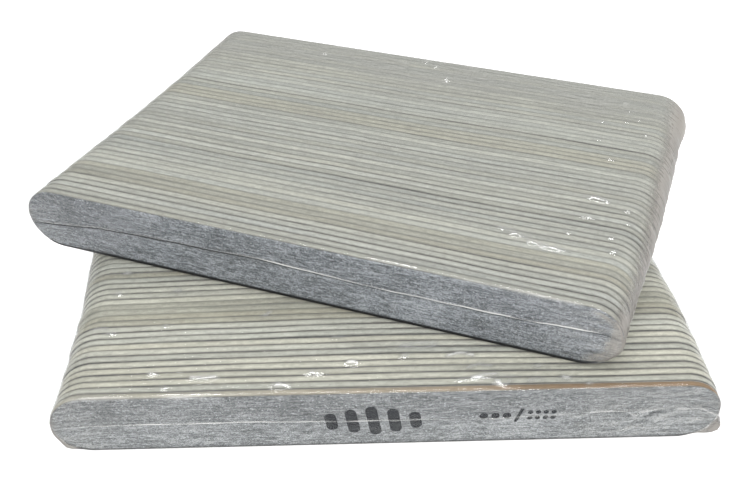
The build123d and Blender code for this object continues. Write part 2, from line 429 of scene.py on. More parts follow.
def film_material():
    """Clear shrink film: sees through, mirrors by Schlick's law, and turns milky where it has gathered; painted
    highlights, shade and shadow are carried by its crease value.
    """
    m, nt, out = node_material("clear_film")
    n = N(nt)
    pk, info, place = n.attr("pk"), n.attr("info"), n.attr("tone")
    haze_at, crease, end = n.split(info)
    x, y, z = n.split(pk)
    row, arc, shine = n.split(place)
    lw = nt.nodes.new("ShaderNodeLayerWeight")
    lw.inputs["Blend"].default_value = 0.5
    f = n.math("POWER", lw.outputs["Facing"], 5.0)
    f = n.math("MULTIPLY_ADD", f, 0.30, 0.028)
    f = n.math("MULTIPLY_ADD", shine, 0.26, f)                # gathered double film mirrors more
    clear = nt.nodes.new("ShaderNodeBsdfTransparent")
    clear.inputs["Color"].default_value = (0.975, 0.98, 0.982, 1)
    gloss = nt.nodes.new("ShaderNodeBsdfPrincipled")
    gloss.inputs["Base Color"].default_value = (1, 1, 1, 1)
    gloss.inputs["Metallic"].default_value = 1.0
    # drawn waves along the files on the flats, and round the ends along each file
    flat = n.join(n.math("MULTIPLY", x, 0.16), n.math("MULTIPLY", y, 1.15), n.math("MULTIPLY", z, 1.55))
    w1 = n.noise(flat, 1.0, 4.0, 0.6)
    round_end = n.join(n.math("MULTIPLY", arc, 0.028), n.math("MULTIPLY", row, 0.95), 0.0)
    w3 = n.noise(round_end, 1.0, 3.0, 0.55)
    wave = n.math("ADD", n.math("MULTIPLY", w1, n.math("SUBTRACT", 1.0, end, clamp=True)), n.math("MULTIPLY", w3, end))
    w2 = n.noise(pk, 0.9, 3.0, 0.6)
    n.link(n.math("ADD", n.math("MULTIPLY", w2, 0.08), 0.04), gloss.inputs["Roughness"])
    # gathers drawn towards the sealed corner, running up to the right, with painted highlights on their ridges and
    # painted shade in their hollows
    zone = n.split(n.attr("coat"))[0]
    wob = n.noise(n.join(n.math("MULTIPLY", x, 0.10), 0.0, n.math("MULTIPLY", z, 0.16)), 1.0, 2.0)
    across = n.math("ADD", n.math("MULTIPLY", z, 0.56), n.math("MULTIPLY", x, -0.085))
    across = n.math("ADD", across, n.math("MULTIPLY", wob, 2.4))
    pull = n.noise(n.join(n.math("MULTIPLY", x, 0.055), 0.0, across), 1.0, 2.0, 0.5)
    ridge = n.math("SUBTRACT", 1.0, n.math("MULTIPLY", n.math("ABSOLUTE", n.math("SUBTRACT", pull, 0.5)), 9.0), clamp=True)
    painted_hollow_shade = n.ramp(pull, [(0.30, 1.0), (0.42, 0.0)])
    crease = n.math("ADD", crease, n.math("MULTIPLY", zone, n.math("SUBTRACT", n.math("MULTIPLY", n.math("POWER", ridge, 1.6), 0.62), n.math("MULTIPLY", painted_hollow_shade, 0.62))))
    rib = n.math("ABSOLUTE", n.math("SINE", n.math("MULTIPLY", row, math.pi / PITCH)))
    height = n.math("ADD", n.math("MULTIPLY", wave, 0.85), n.math("MULTIPLY", rib, 0.16))
    height = n.math("ADD", height, n.math("MULTIPLY", n.math("MULTIPLY", ridge, zone), 1.2))
    bump = n.bump(height, 0.42, 0.00014)
    n.link(bump, gloss.inputs["Normal"])
    skin = nt.nodes.new("ShaderNodeMixShader")
    n.link(f, skin.inputs[0])
    n.link(clear.outputs[0], skin.inputs[1])
    n.link(gloss.outputs[0], skin.inputs[2])
    milk = nt.nodes.new("ShaderNodeBsdfPrincipled")
    # painted shade: the tint at the ends darkens round their lower side
    under = n.ramp(n.math("MULTIPLY", n.math("ABSOLUTE", arc), 1.0 / 180.0), [(0.16, 0.0), (0.36, 0.62), (0.62, 1.0)])
    tint = n.mix(end, (0.405, 0.407, 0.380), (0.335, 0.315, 0.288))
    tint = n.mix(n.math("MULTIPLY", under, end), tint, (0.160, 0.150, 0.138))
    # crease paints the film: above zero a painted highlight, below zero painted shade, far below a painted shadow near
    # black
    tint = n.mix(n.math("MULTIPLY", crease, 1.3, clamp=True), tint, (0.86, 0.86, 0.83))
    tint = n.mix(n.math("MULTIPLY", crease, -1.6, clamp=True), tint, (0.060, 0.063, 0.067))
    tint = n.mix(n.math("MULTIPLY_ADD", crease, -0.7, -1.1, clamp=True), tint, (0.010, 0.010, 0.011))
    n.link(tint, milk.inputs["Base Color"])
    milk.inputs["Roughness"].default_value = 0.42
    milk.inputs["Specular IOR Level"].default_value = 0.14
    n.link(bump, milk.inputs["Normal"])
    # gathered film shows fine hairs across the files and longer ones along them
    hair = n.noise(n.join(n.math("MULTIPLY", x, 1.5), n.math("MULTIPLY", y, 0.22), n.math("MULTIPLY", z, 0.5)), 1.0, 3.0, 0.65)
    drawn = n.noise(n.join(n.math("MULTIPLY", x, 0.10), n.math("MULTIPLY", y, 1.9), n.math("MULTIPLY", z, 1.9)), 1.0, 4.0, 0.7)
    amount = n.math("MULTIPLY", haze_at, n.ramp(wave, [(0.32, 0.42), (0.68, 1.48)]))
    amount = n.math("MULTIPLY", amount, n.math("MULTIPLY_ADD", hair, 0.9, 0.55))
    amount = n.math("MULTIPLY", amount, n.math("MULTIPLY_ADD", drawn, 1.0, 0.50))
    amount = n.math("ADD", amount, n.math("MULTIPLY", n.math("ABSOLUTE", crease), 0.42), clamp=True)
    mixer = nt.nodes.new("ShaderNodeMixShader")
    n.link(amount, mixer.inputs[0])
    n.link(skin.outputs[0], mixer.inputs[1])
    n.link(milk.outputs[0], mixer.inputs[2])
    n.link(mixer.outputs[0], out.inputs["Surface"])
    return m


def film_inner_material():
    """The film's inner wall: almost only see-through, with faint blocking marks."""
    m, nt, out = node_material("clear_film_inside")
    n = N(nt)
    pk = n.attr("pk")
    clear = nt.nodes.new("ShaderNodeBsdfTransparent")
    clear.inputs["Color"].default_value = (0.985, 0.988, 0.99, 1)
    gloss = nt.nodes.new("ShaderNodeBsdfPrincipled")
    gloss.inputs["Base Color"].default_value = (0.9, 0.9, 0.9, 1)
    n.link(n.math("ADD", n.math("MULTIPLY", n.noise(pk, 1.1, 3.0), 0.2), 0.15), gloss.inputs["Roughness"])
    mixer = nt.nodes.new("ShaderNodeMixShader")
    n.link(n.math("MULTIPLY", n.noise(pk, 0.4, 3.0), 0.015), mixer.inputs[0])
    n.link(clear.outputs[0], mixer.inputs[1])
    n.link(gloss.outputs[0], mixer.inputs[2])
    n.link(mixer.outputs[0], out.inputs["Surface"])
    return m


def ink_material():
    """Dark printing ink, thin and broken over the grit."""
    m, nt, out = node_material("printed_ink")
    n = N(nt)
    pk = n.attr("pk")
    g = n.noise(pk, 3.2, 3.0, 0.7)
    col = n.ramp(g, [(0.30, (0.002, 0.003, 0.006)), (0.70, (0.005, 0.008, 0.013)), (0.88, (0.05, 0.056, 0.064))])
    p = nt.nodes.new("ShaderNodeBsdfPrincipled")
    n.link(col, p.inputs["Base Color"])
    n.link(n.math("ADD", n.math("MULTIPLY", g, 0.3), 0.45), p.inputs["Roughness"])
    p.inputs["Specular IOR Level"].default_value = 0.08
    n.link(n.bump(g, 0.5, 0.00005), p.inputs["Normal"])
    n.link(p.outputs[0], out.inputs["Surface"])
    return m


WOOD = wood_material()
COARSE = abrasive_material("coarse_abrasive", (0.218, 0.233, 0.246), (0.44, 0.455, 0.470), 0.34, 0.00012)
FINE = abrasive_material("fine_abrasive", (0.310, 0.325, 0.342), (0.52, 0.54, 0.56), 0.22, 0.00007)
FILM_MAT = film_material()
FILM_IN = film_inner_material()
INK = ink_material()

# ------------------------------------------------------------------ wood tones
BOARDS = {
    "B": (0.575, 0.575, 0.505),   # bright
    "b": (0.505, 0.508, 0.448),   # pale
    "p": (0.448, 0.451, 0.396),   # plain
    "g": (0.392, 0.398, 0.352),   # greyed
    "t": (0.405, 0.400, 0.335),   # tan
    "n": (0.470, 0.460, 0.400),   # the brown-edged one at the lower pack's front
}
# which boards lie where, front to back, as batches of the same wood
BATCH = {
    "upper": "gpbpbtttbbpbgpggbpgbpgpppgbgtttggpppbpppppbgppgppp",
    "lower": "nbBbBBbBBbBbttttbbBbptbbpgbbttpbbbpgbpbttbpbbgpbbb",
}


def wood_tone(pack, i, rng):
    """Base colours of one file's core at its left end and its right end, with painted light and shade by row."""
    c = np.array(BOARDS[BATCH[pack][i]])
    k, w = rng.uniform(0.95, 1.05), rng.uniform(-0.012, 0.012)
    left = c * k * rng.uniform(0.97, 1.03) * np.array([1 + w, 1, 1 - 2 * w])
    right = c * k * rng.uniform(0.97, 1.03) * np.array([1 + w, 1, 1 - 2 * w])
    if pack == "lower" and i == 0:
        left, right = np.array((0.48, 0.470, 0.40)), np.array((0.248, 0.155, 0.082))
    # painted light and shade by row: the front rows darker, and the lower pack's front rows lighter at their right end
    # against the upper pack's shadow
    if pack == "upper":
        painted_row_light = 0.86 if i < 12 else 0.93 if i < 26 else 0.98
    else:
        painted_row_light = 0.89 if i < 9 else 0.95
    cast = np.array({"lower": (1.010, 1.0, 0.978), "upper": (0.998, 1.0, 1.018)}[pack])
    left, right = left * painted_row_light * cast, right * painted_row_light * cast
    if pack == "lower" and i < 9:
        right = right * 1.06
    return left, right


# ------------------------------------------------------------------ one file's pieces
CORE_ST = stations(2.4, [0, 8, 16, 24, 32, 40, 48, 56, 64, 72, 80, 90])
PAPER_ST = stations(1.3, [0, 6, 12, 18, 24, 30, 36, 42, 48, 54, 60, 66, 72, 78, 84, 90])
FACE_ST = stations(0.9, [0, 5, 10, 15, 20, 25, 30, 35, 40, 45, 50, 55, 60, 65, 70, 75, 80, 85, 90])
ZC = FILM + FILM_SIDE + WIDTH / 2


def strip(pack, i, y0, y1, st, rings, ragged, seed, dw):
    """Closed strip with full-round ends: rings is [(share of thickness, inset)]. Returns vertices, faces, outline length."""
    off = sum(offsets[pack][i])
    X, Z, NX, NZ = ring_outline(st, LENGTH / 2 - 0.02, WIDTH / 2 - 0.02)
    m = len(X)
    s = np.arange(m)
    run = np.concatenate([[0], np.cumsum(np.hypot(np.diff(X), np.diff(Z)))])
    verts = []
    for k, (share, inset) in enumerate(rings):
        rough = ragged * (
            0.6 * noise2(run / 1.7, i * 3.1 + k * 0.6, seed)
            + 0.4 * noise2(run / 0.6, i * 5.3 + k * 1.7, seed + 1)
        )
        slow = 0.03 * noise2(run / 14.0, i * 1.7 + 0.5, seed + 2)
        d = -inset - abs(ragged) + rough + slow - 0.03
        x = X + NX * d + off
        z = Z + NZ * d + ZC
        z = np.where(NZ > 0.3, z + dw * NZ, z)
        y = np.full(m, y0 + (y1 - y0) * share)
        y = y + bow(pack, x, y, i)
        verts.append(np.stack([x, y, z], 1))
    v = np.concatenate(verts)
    faces = tube_faces(len(rings), m)
    return v, faces, m


def add_core(b, pack, i, tone, dw):
    y0 = i * PITCH + PAPER
    rings = [(0.0, 0.17), (0.06, 0.08), (0.20, 0.02), (0.50, 0.0), (0.80, 0.02), (0.94, 0.08), (1.0, 0.17)]
    v, f, m = strip(pack, i, y0, y0 + CORE, CORE_ST, rings, 0.022, 100 + SEED[pack], dw)
    k = len(rings)
    f = f + [tuple(range(m)), tuple(reversed(range((k - 1) * m, k * m)))]
    share = np.repeat([r[0] for r in rings], m)
    t = smooth(-70, 60, v[:, 0] - sum(offsets[pack][i]))[:, None]
    if pack == "lower" and i == 0:
        t = smooth(-75, 75, v[:, 0])[:, None]
    ajar = groove(pack, i, v[:, 0]) * (1 - share) + groove(pack, i + 1, v[:, 0]) * share
    info = np.stack([np.full(len(v), i / COUNT + 0.003 * SEED[pack]), share, ajar], 1)
    b.add(v, f, tone[0] * (1 - t) + tone[1] * t, info)


def add_paper(b, pack, i, front, tone, dw, dense):
    """The paper on one side of a file. front: on the side towards the pack's front. dense: its outer face is seen through the film."""
    y0 = i * PITCH if front else i * PITCH + PAPER + CORE
    y1 = y0 + PAPER
    if not dense:
        rings = [(0.0, 0.10), (0.5, 0.08), (1.0, 0.10)]
        v, f, m = strip(pack, i, y0, y1, PAPER_ST, rings, 0.055, 200 + SEED[pack] + front, dw)
        k = len(rings)
        f = f + [tuple(range(m)), tuple(reversed(range((k - 1) * m, k * m)))]
        lay = np.repeat([1.0, 0.5, 0.0] if front else [0.0, 0.5, 1.0], m)
        info = np.stack([np.full(len(v), i / COUNT), lay, np.ones(len(v))], 1)
        b.add(v, f, edge_tone(pack, v, tone, i, front), info, tone[1])
        return
    # outer face as a fine grid that carries the paper's slight unevenness
    rings = [(0.0, 0.05), (0.25, 0.0), (1.0, 0.02)] if front else [(1.0, 0.05), (0.75, 0.0), (0.0, 0.02)]
    v, f, m = strip(pack, i, y0, y1, FACE_ST, rings, 0.07, 300 + SEED[pack] + front, dw)
    if not front:
        f = [tuple(reversed(q)) for q in f]
    half = m // 2 + 1                       # columns, left tip to right tip
    rows = 18
    top = v[:half]
    bottom = v[np.r_[0, m - 1:half - 1:-1, half - 1]]
    grid = []
    for r in range(1, rows):
        t = r / rows
        g = top * (1 - t) + bottom * t
        g = g[1:-1].copy()
        wob = 0.035 * noise2(g[:, 0] / 9.0, g[:, 2] / 3.0, 41 + SEED[pack]) + 0.02 * noise2(g[:, 0] / 1.6, g[:, 2] / 1.1, 42)
        g[:, 1] += wob if front else -wob
        g[:, 1] = np.maximum(g[:, 1], y0 - 0.02) if front else np.minimum(g[:, 1], y1 + 0.02)
        grid.append(g)
    n0 = len(v)
    cols = half - 2
    allv = np.concatenate([v] + grid)

    def at(r, c):
        """Index of the grid point in row r (0 top, rows bottom), column c (0..half-1)."""
        if c == 0:
            return 0
        if c == half - 1:
            return half - 1
        if r == 0:
            return c
        if r == rows:
            return m - c
        return n0 + (r - 1) * cols + (c - 1)

    g = []
    for c in range(half - 1):
        for r in range(rows):
            q = [at(r, c), at(r, c + 1), at(r + 1, c + 1), at(r + 1, c)]
            q = [q[k] for k in range(4) if q[k] != q[k - 1]]
            if len(set(q)) >= 3:
                g.append(tuple(q) if front else tuple(reversed(q)))
    back = tuple(reversed(range(2 * m, 3 * m))) if front else tuple(range(2 * m, 3 * m))
    lay = np.ones(len(allv))
    lay[m:2 * m] = 0.8
    lay[2 * m:3 * m] = 0.0
    rim = np.zeros(len(allv))
    rim[m:3 * m] = 1.0
    info = np.stack([np.full(len(allv), i / COUNT), lay, rim], 1)
    cast = {"lower": (1.015, 1.0, 0.968), "upper": (0.988, 1.0, 1.026)}[pack] if front else (1.0, 1.0, 1.0)
    coat = np.where(rim[:, None] > 0.5, np.array(tone[1]), np.array(cast))
    b.add(allv, f + g + [back], edge_tone(pack, allv, tone, i, front), info, coat)


# how open the groove in front of each file is, 0 to 9; sanding dust and film fill the others, and the open ones get
# painted shade on the wood's edges beside them
GROOVE = {
    "upper": "76786631123454584544353363224342180111622221211000",
    "lower": "79989898897886333678767757566554565665556555555556",
}


def groove(pack, i, x):
    s = GROOVE[pack]
    k = int(s[min(i, COUNT - 1)]) / 9.0
    wave = 0.20 * noise2(x / 26.0, i * 2.3 + 0.7, SEED[pack] + 70) + 0.10 * noise2(x / 8.0, i * 3.1 + 0.2, SEED[pack] + 71)
    tilt = 0.72 + 0.40 * smooth(-70, 70, x) if pack == "upper" else 0.92 + 0.10 * smooth(-80, 0, x)
    return np.clip(k * tilt + wave * (0.35 + k), 0.0, 1.0)


def edge_tone(pack, v, gain, i, front):
    """Brightness of a paper's cut edge, the sanding dust on it, and the brightness of its face, which is painted light
    and shade: lighter towards its bottom and darker towards its ends.
    """
    # painted light and shade on the face: lighter towards the bottom, darker towards both ends
    painted_light_low = smooth(12.2, 9.2, v[:, 2])
    if pack == "lower":
        face = (0.630 + 0.200 * painted_light_low) * (1 - 0.035 * smooth(40, 80, v[:, 0]) - 0.05 * smooth(-40, -75, v[:, 0]))
    else:
        face = (0.795 + 0.175 * painted_light_low) * (1 - 0.34 * smooth(-36, -66, v[:, 0]) - 0.24 * smooth(30, 76, v[:, 0]))
    dust = 1.0 - groove(pack, i if front else i + 1, v[:, 0])
    return np.stack([np.full(len(v), gain[0]), dust, face], 1)


def make_files(pack):
    rng = random.Random(500 + SEED[pack])
    tones = [wood_tone(pack, i, rng) for i in range(COUNT)]
    widths = [rng.uniform(-0.09, 0.03) for i in range(COUNT)]
    edges = [rng.uniform(0.80, 1.20) for i in range(COUNT)]
    coats = [tuple(0.80 * (a + b) / 2 for a, b in zip(*tones[i])) for i in range(COUNT)]
    groups = [("front_file", "core", "coarse_paper", "fine_paper", [0])]
    for g in range(6):
        groups.append((f"files_row{g + 1}", "cores", "coarse_papers", "fine_papers", range(1 + 8 * g, 9 + 8 * g)))
    groups.append(("back_file", "core", "coarse_paper", "fine_paper", [COUNT - 1]))
    for stem, core, coarse, fine, members in groups:
        b = Build()
        for i in members:
            add_core(b, pack, i, tones[i], widths[i])
        finish(b.object(f"{pack}_{stem}_wood", pack, WOOD), pack, f"{pack}_{stem}_{core}")
        b = Build()
        for i in members:
            add_paper(b, pack, i, True, (edges[i], coats[i]), widths[i], i == 0)
        finish(b.object(f"{pack}_{stem}_coarse", pack, COARSE), pack, f"{pack}_{stem}_{coarse}")
        b = Build()
        for i in members:
            add_paper(b, pack, i, False, (edges[i], coats[i]), widths[i], i == COUNT - 1)
        finish(b.object(f"{pack}_{stem}_fine", pack, FINE), pack, f"{pack}_{stem}_{fine}")


def finish(o, pack, node):
    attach(o, f"{pack}_pack")
    if node:
        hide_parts(node)
    return o


# ------------------------------------------------------------------ shrink film
FILM_ST = stations(0.86, [0, 7, 14, 21, 28, 35, 42, 49, 56, 63, 70, 76, 81, 85, 87.4, 88.8, 90])
# small puckers that catch the light: (x, y, radius along the files, radius across, height) on top of the row
PUCKERS = {
    "upper": [(-32.6, 108.4, 1.6, 1.5, 0.95), (5.3, 114.0, 1.4, 1.3, 0.85), (9.4, 111.7, 1.4, 1.3, 0.85),
              (15.6, 103.4, 1.7, 1.6, 1.00), (83.0, 96.5, 1.2, 1.1, 0.66), (86.0, 88.0, 1.1, 1.0, 0.62), (79.5, 101.0, 1.3, 1.1, 0.66),
              (71.5, 92.0, 1.1, 1.0, 0.62), (84.5, 44.0, 1.2, 1.0, 0.66), (86.0, 38.5, 1.1, 1.0, 0.62), (82.5, 24.0, 1.2, 1.0, 0.62), (77.6, 106.3, 1.2, 1.02, 0.54), (79.1, 94.3, 1.5, 0.92, 0.54),
              (73.9, 87.6, 1.1, 0.92, 0.52), (71.6, 80.0, 1.7, 0.92, 0.54), (74.8, 82.4, 1.1, 0.92, 0.48),
              (74.6, 76.0, 1.1, 0.92, 0.46), (76.5, 70.0, 1.9, 0.87, 0.52), (87.3, 106.7, 1.1, 0.92, 0.42),
              (75.2, 47.2, 2.2, 1.02, 0.48), (77.9, 46.5, 1.2, 0.82, 0.42), (73.5, 37.5, 2.6, 0.82, 0.48),
              (69.5, 29.0, 1.6, 0.82, 0.42), (55.5, 23.0, 1.8, 0.92, 0.48), (60.5, 21.0, 1.4, 0.82, 0.44),
              (66.0, 20.0, 2.4, 0.82, 0.42), (81.0, 30.0, 1.3, 1.02, 0.42)],
    "lower": [(-28.6, 3.4, 1.6, 1.02, 0.54), (-19.8, 7.6, 2.4, 1.02, 0.52), (-9.6, 11.0, 1.6, 0.92, 0.46),
              (4.6, 13.0, 1.6, 0.92, 0.48), (-76.0, 49.1, 2.0, 1.02, 0.48), (-77.0, 40.2, 1.6, 0.92, 0.46),
              (-60.0, 40.8, 1.8, 0.92, 0.48), (-58.6, 3.1, 1.3, 0.92, 0.46), (39.9, 8.1, 1.4, 0.92, 0.48),
              (46.3, 3.6, 2.0, 0.92, 0.48), (52.3, 1.6, 1.1, 0.82, 0.42), (28.2, 3.1, 1.1, 0.92, 0.48),
              (-76.2, 23.8, 1.7, 0.82, 0.46), (-61.3, 26.3, 1.1, 0.80, 0.44), (-62.6, 8.6, 1.6, 0.80, 0.40)],
}
# longer creases on the lower pack's top: (x0, y0, x1, y1, height, bend, whiteness), where whiteness is a painted
# highlight along the crease
CREASES = {
    "lower": [(3.5, 16.3, 13.4, 17.1, 0.30, 0.8, 0.5), (5.0, 16.1, 12.6, 16.3, 0.20, -0.6, 0.35), (16.3, 12.5, 23.0, 12.5, 0.40, 0.9, 1.0),
              (21.2, 8.0, 27.4, 8.5, 0.30, 1.0, 0.55), (18.0, 3.8, 33.5, 4.7, 0.22, 0.8, 0.35), (22.6, 4.7, 28.3, 5.6, 0.26, 0.4, 0.5),
              (28.5, 3.5, 31.6, 3.0, 0.30, -1.4, 0.7), (36.7, 3.2, 40.2, 3.5, 0.24, 0.2, 0.5), (45.9, 4.4, 47.4, 3.6, 0.24, 0.0, 0.4),
              (-10.7, 11.1, -8.6, 10.7, 0.34, 0.0, 0.8), (-14.6, 20.4, -12.0, 20.4, 0.24, 0.1, 0.4), (-51.8, 6.7, -45.8, 6.8, 0.36, -0.3, 0.9),
              (-81.5, 25.4, -77.6, 25.4, 0.30, 0.1, 0.45), (-34.3, 29.6, -32.6, 31.2, 0.30, -0.2, 0.6), (-30.2, 3.5, -26.4, 3.2, 0.30, 0.0, 0.6)],
    "upper": [(50.5, 24.5, 55.5, 23.6, 0.34, 0.5, 0.5), (57.5, 23.0, 63.5, 21.0, 0.34, -0.7, 0.5), (64.0, 20.3, 70.0, 20.0, 0.30, 0.5, 0.4),
              (72.5, 47.4, 77.5, 46.9, 0.34, 0.4, 0.4)],
}
# gathers drawn towards the sealed corner on the lower front: raised crests with painted highlights and painted shade in
# the hollows, as (width, strength, corners)
DRAWN = {
    "lower": [(0.34, 0.75, [(45.6, 10.9), (50.0, 9.5), (53.2, 11.2), (58.1, 11.8), (62.7, 11.4), (65.7, 10.1), (68.6, 11.5), (72.3, 12.2), (75.0, 12.1)]),
              (0.32, 0.65, [(76.6, 12.2), (79.4, 11.9), (83.3, 12.2), (86.2, 10.3), (89.1, 8.7)]),
              (0.42, 0.55, [(57.3, 2.8), (62.3, 3.4), (65.9, 4.8), (70.4, 6.5), (74.5, 8.9), (78.9, 7.8)]),
              (0.34, 0.50, [(80.8, 5.5), (83.3, 7.7), (84.7, 8.6)]), (0.34, 0.42, [(50.0, 6.6), (53.3, 5.9), (55.8, 2.8)]),
              (0.50, -0.52, [(52.1, 8.8), (56.0, 10.6), (59.6, 10.6), (63.5, 10.0)]), (0.62, -0.80, [(69.1, 8.6), (70.7, 10.7), (72.8, 11.1), (75.3, 11.7)]),
              (0.46, -0.62, [(62.9, 5.9), (66.3, 6.6), (70.9, 7.2)]), (0.40, -0.52, [(57.8, 3.6), (60.5, 4.1), (62.9, 4.6)]),
              (0.50, -0.42, [(76.3, 8.6), (78.3, 9.3), (81.0, 9.6)])],
    "upper": [],
}
# where the welded seam line runs along the front: (x, height above the pack's base)
SEAM_LINE = {
    "lower": ([-95, -86, -66, -39, -17, 30, 43, 56, 70, 80, 95], [8.6, 10.1, 10.6, 10.8, 10.2, 10.0, 10.6, 11.5, 11.0, 11.8, 10.4]),
    "upper": ([-95, -82, -64, -47, -31, -12, 12, 40, 67, 84, 95], [7.2, 8.7, 11.1, 11.7, 12.2, 12.5, 11.6, 11.3, 11.7, 12.8, 11.0]),
}


def hug(pack, y, side):
    """How far the film's end stands out past the row's line at depth y, drawn in onto the uneven file ends."""
    ys = np.array([i * PITCH + THICK / 2 for i in range(COUNT)])
    js = np.asarray(side, float)[..., None] * np.array([j for _, j in offsets[pack]])
    w = np.exp(-((np.asarray(y)[..., None] - ys) / 1.9) ** 2)
    soft = (w * js).sum(-1) / np.maximum(w.sum(-1), 1e-9)
    peak = np.where(w > 0.35, js, -1).max(-1)
    return 0.10 + 0.45 * soft + 0.45 * np.maximum(peak, soft)


def sweep(pack, y):
    t = np.clip(np.asarray(y) / DEPTH, 0, 1)
    a1, a2 = SWEEP[pack]
    return a1 * t + a2 * t * t


def make_film(pack):
    seed = 700 + SEED[pack]
    R = HEIGHT / 2
    zc = HEIGHT / 2
    fold = 0.60
    y_front, y_back = -FILM_FACE - FILM, DEPTH + FILM_FACE + FILM
    turn = (90, 72, 54, 36, 18, 0)
    ys = [(y_front + fold * (1 - math.cos(math.radians(90 - a))), fold * (1 - math.sin(math.radians(90 - a)))) for a in turn]
    ys += [(k * PITCH / 3, 0.0) for k in range(1, 150)]
    ys += [(y_back - fold * (1 - math.cos(math.radians(90 - a))), fold * (1 - math.sin(math.radians(90 - a)))) for a in reversed(turn)]
    X, Z, NX, NZ = ring_outline(FILM_ST, LENGTH / 2, R)
    m = len(X)
    half = m // 2 + 1
    P, INFO, PLACE = [], [], []
    tip = np.abs(NX)                                       # 1 at the very end, 0 on the flats
    side = np.sign(NX) + (NX == 0) * np.sign(X)
    arc = np.where(NX != 0, np.degrees(np.arccos(np.clip(NZ, -1, 1))), np.where(NZ > 0, 0.0, 180.0))
    for y, inset in ys:
        yy = np.full(m, y)
        grow = np.where(np.abs(NX) > 1e-6, hug(pack, yy, np.sign(NX)) * np.abs(NX), 0.0)
        x = X + sweep(pack, y)
        px = x + NX * (grow - inset)                       # the surface before its wrinkles
        pz = zc + Z - NZ * inset
        py = yy + bow(pack, px, yy)
        top = np.clip(NZ, 0, 1)
        endw = smooth(0.15, 0.85, tip)
        near_end = smooth(LENGTH / 2 - 18, LENGTH / 2 - 4, np.abs(X))
        rib = np.abs(np.sin(math.pi * y / PITCH))
        # taut film: it dips a little between files and ripples along them
        d = (0.025 + 0.055 * endw + 0.02 * near_end) * rib
        calm = {"lower": 0.55, "upper": 1.0}[pack]
        d = d + calm * (0.010 * (1 + noise2(px / 9.0, py / 2.4, seed)) + 0.004 * noise2(px / 3.1, py / 1.3, seed + 1))
        patch = smooth(0.35, 0.85, noise2(px / 30.0, py / 16.0, seed + 2)) * (0.35 + 0.65 * near_end)
        d = d + calm * patch * 0.045 * np.exp(-(noise2(px / 12.0 + 0.4 * noise2(px / 5.0, py / 4.0, seed + 6), py / 2.6, seed + 3) / 0.28) ** 2)
        # gathers round the ends, growing towards the tips, their crests painted white as highlights
        folds = np.clip(ridged(py / 3.1 + 0.55 * noise2(arc / 40.0, py / 6.0, seed + 4), arc / 320.0 + 3 * (side > 0), seed + 5), 0, 1)
        folds = folds * smooth(-0.5, 0.5, noise2(arc / 55.0, py / 9.0, seed + 8))
        late = smooth(0.45, 1.0, tip)
        d = d + late * (0.20 * folds ** 2 + 0.05 * noise2(arc / 14.0, py / 1.6, seed + 7))
        crease = late * folds ** 3 * {"lower": 0.22, "upper": 0.10}[pack]
        # end seam bead, with a painted highlight along it
        weld = 90 + 3.0 * noise2(py / 11.0, 3 * (side > 0) + 0.5, seed + 12)
        bead = np.exp(-((np.abs(arc) - weld) / 1.7) ** 2) * (0.65 + 0.35 * noise2(py / 5.0, 0.5, seed + 13)) * (tip > 0.9) * smooth(0.5, 6.0, y) * smooth(0.5, 6.0, DEPTH - y)
        d = d + 0.22 * bead
        crease = crease + 0.35 * bead
        shine = 0.05 * patch + 0.03 * late * folds ** 2
        for gx, gy, rx, ry, h in PUCKERS[pack]:
            q = np.exp(-(((px - gx) / rx) ** 2 + ((py - gy) / ry) ** 2)) * (NZ > 0)
            tall = 0.98 if pack == "upper" else 0.50
            d = d + tall * h * q
            shine = shine + 0.80 * q
            # painted glint: the puckers' crowns are whitened, strongly on the lower pack
            crease = crease + {"lower": 0.8, "upper": 0.1}[pack] * q ** 2.2
        for x0, y0, x1, y1, h, bend, white in CREASES[pack]:
            t = np.clip(((px - x0) * (x1 - x0) + (py - y0) * (y1 - y0)) / ((x1 - x0) ** 2 + (y1 - y0) ** 2), 0, 1)
            cx, cy = x0 + t * (x1 - x0), y0 + t * (y1 - y0) + bend * np.sin(t * math.pi)
            q = np.exp(-(((px - cx) / 0.85) ** 2 + ((py - cy) / 0.72) ** 2)) * (NZ > 0)
            d = d + (0.80 if pack == "upper" else 0.62) * h * q
            shine = shine + 0.6 * q
            crease = crease + 1.35 * white * q ** 2.2
        # the film rolls over the front edge and stands a hair proud there
        roll = 0.5 + 0.5 * noise2(px / 13.0, 2.2, seed + 30) + 0.25 * noise2(px / 4.0, 5.2, seed + 31)
        bright = {"lower": 0.20 + 0.80 * smooth(-38, -52, px), "upper": 0.15 + 0.85 * smooth(14, 26, px) * smooth(66, 56, px)}[pack]
        edge_q = bright * np.clip(roll, 0, 1) * np.exp(-((yy - 0.9) / 0.95) ** 2) * (NZ > 0.4)
        d = d + 0.17 * edge_q
        # painted highlight: a broken white line along the front fold where that fold shines
        where = {"lower": smooth(-88, -80, px) * smooth(-44, -54, px), "upper": (0.35 * smooth(38, 48, px) + 0.65 * smooth(63, 68, px)) * smooth(79, 76, px)}[pack]
        broken = np.clip(0.45 + 1.0 * noise2(px / 6.0, 8.2, seed + 32), {"lower": 0.0, "upper": 0.40}[pack], 1.0)
        crease = crease + {"lower": 0.95, "upper": 1.7}[pack] * where * broken * np.exp(-((yy - y_front - 0.24) / 0.26) ** 2) * (NZ > 0.4)
        shine = shine + 0.9 * edge_q * smooth(0.35, 0.8, roll)
